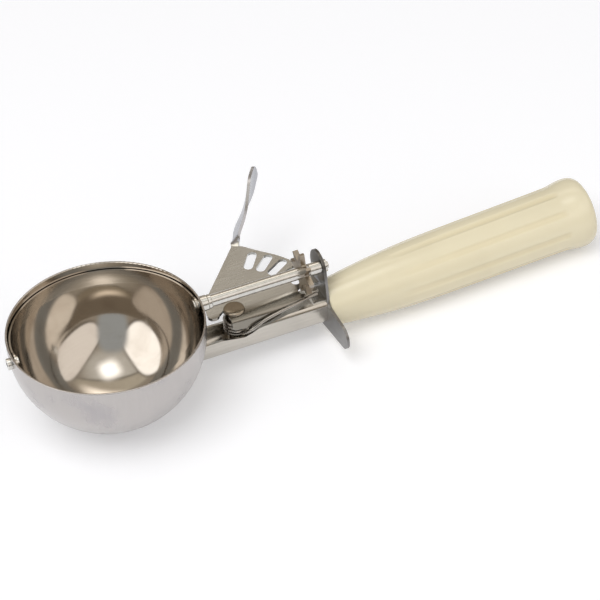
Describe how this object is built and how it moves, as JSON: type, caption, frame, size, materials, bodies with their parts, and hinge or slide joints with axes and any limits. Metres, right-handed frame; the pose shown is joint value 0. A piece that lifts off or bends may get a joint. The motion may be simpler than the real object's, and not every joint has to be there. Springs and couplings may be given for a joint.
{
  "type": "ice cream disher",
  "caption": "Thumb-lever ice cream scoop: deep round bowl with a sweeping scraper blade, geared side lever, guard plate and fluted ivory grip.",
  "frame": {"origin": "centre of the bowl's mouth, level with its rim", "axes": "+X along the blade shaft from the bowl to the grip, +Y towards the thumb piece, +Z out of the bowl's mouth"},
  "size_m": [0.2231, 0.0967, 0.0424],
  "materials": {
    "polished_steel": "polished stainless steel",
    "pressed_steel": "satin stainless sheet",
    "turned_steel": "bright turned steel",
    "spring_wire": "bright drawn wire",
    "braze": "bare braze bead",
    "ivory_plastic": "glossy ivory moulding"
  },
  "bodies": {
    "frame": {"bowl": "polished_steel", "shaft_bush": "turned_steel", "tip_pin": "turned_steel", "shank": "pressed_steel", "braze_fillet": "braze", "guard_plate": "pressed_steel", "tang": "turned_steel", "tang_pin": "turned_steel", "grip": "ivory_plastic", "pivot_rivet": "turned_steel", "pivot_sleeve": "turned_steel", "pivot_washer": "turned_steel", "return_spring": "spring_wire"},
    "lever": {"thumb_lever": "pressed_steel"},
    "scraper": {"sweep_blade": "polished_steel", "blade_shaft": "turned_steel", "shaft_collar": "turned_steel", "shaft_end_washer": "turned_steel", "star_pinion": "turned_steel"}
  },
  "joints": [
    {"name": "lever_pivot", "type": "hinge", "parent": "frame", "child": "lever", "pos_m": [0.0468, 0, -0.0117], "axis": [0, 0, -1], "range_deg": [0, 42], "stiffness_Nm_per_rad": 0.12, "springref_deg": -34.38, "deforming": ["return_spring"]},
    {"name": "scraper_turn", "type": "hinge", "parent": "frame", "child": "scraper", "pos_m": [0, 0, -0.0038], "axis": [-1, 0, 0], "range_deg": [0, 168]}
  ],
  "couplings": [
    {"joint": "scraper_turn", "follows": "lever_pivot", "ratio": 4}
  ]
}
